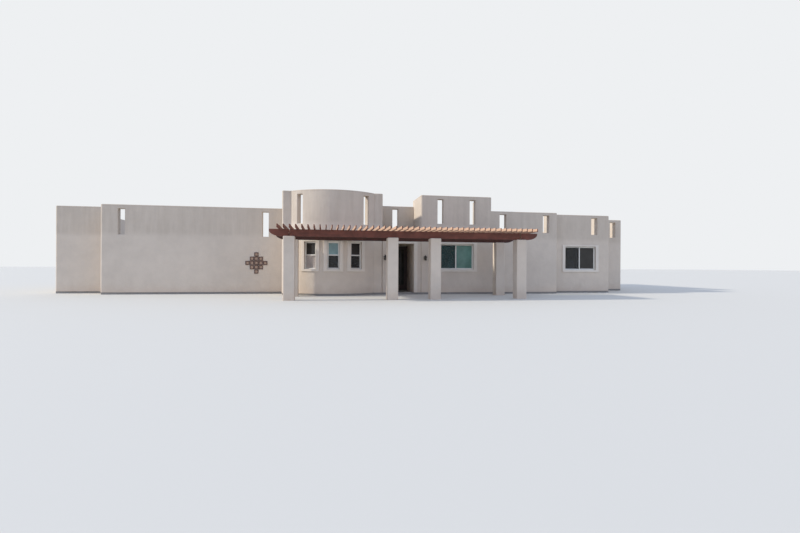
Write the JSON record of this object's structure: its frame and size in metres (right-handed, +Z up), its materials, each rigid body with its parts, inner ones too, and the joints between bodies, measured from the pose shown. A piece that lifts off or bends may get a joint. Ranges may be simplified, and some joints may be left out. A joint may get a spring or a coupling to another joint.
{
  "type": "adobe house",
  "caption": "Single-storey flat-roofed adobe house with stepped parapets, tall parapet slots, a bowed tower front, a recessed front door that opens and a timber pergola on plaster columns.",
  "frame": {"origin": "middle of the whole footprint, pergola and window surrounds included, on the ground", "axes": "+X to the right as seen from in front, +Y from the front to the back, +Z up"},
  "size_m": [30.91, 16.99, 5.02],
  "materials": {
    "plaster": "matte",
    "concrete": "matte",
    "roof_membrane": "matte",
    "timber": "matte",
    "white_vinyl": "satin",
    "window_glass": "polished",
    "door_paint": "satin",
    "black_iron": "matte",
    "brown_tile": "matte"
  },
  "bodies": {
    "house": {"foundation_slab": "concrete", "left_end_front_wall": "plaster", "left_end_side_wall": "plaster", "left_wing_front_wall": "plaster", "wing_side_walls": "plaster", "tower_shoulders": "plaster", "bow_wall_left": "plaster", "bow_wall_middle": "plaster", "bow_wall_right": "plaster", "tower_left_wall": "plaster", "tower_right_wall": "plaster", "entry_piers": "plaster", "entry_lintel": "plaster", "door_side_walls": "plaster", "door_wall_over": "plaster", "block_front_wall": "plaster", "block_left_wall": "plaster", "block_right_wall": "plaster", "core_back_wall": "plaster", "link_front_wall": "plaster", "right_wing_front_wall": "plaster", "right_end_front_wall": "plaster", "right_end_side_wall": "plaster", "back_wall_left": "plaster", "back_wall_middle": "plaster", "back_wall_right": "plaster", "low_roof_left": "roof_membrane", "low_roof_back": "roof_membrane", "low_roof_right": "roof_membrane", "tall_roofs": "roof_membrane", "hall_roof": "roof_membrane", "porch_roof": "roof_membrane", "front_columns": "plaster", "rear_columns": "plaster", "front_beam": "timber", "rear_beam": "timber", "rafters": "timber", "surrounds": "plaster", "window_frames": "white_vinyl", "window_glass": "window_glass", "door_frame": "door_paint", "hinge_pins": "black_iron", "wall_lamps": "black_iron", "stepped_cross": "brown_tile"},
    "door": {"door_leaf": "door_paint", "door_glass": "window_glass", "door_furniture": "black_iron"}
  },
  "joints": [
    {"name": "door_hinge", "type": "hinge", "parent": "house", "child": "door", "pos_m": [1.128, -2.396, 1.3], "axis": [0, 0, 1], "range_deg": [0, 90]}
  ]
}
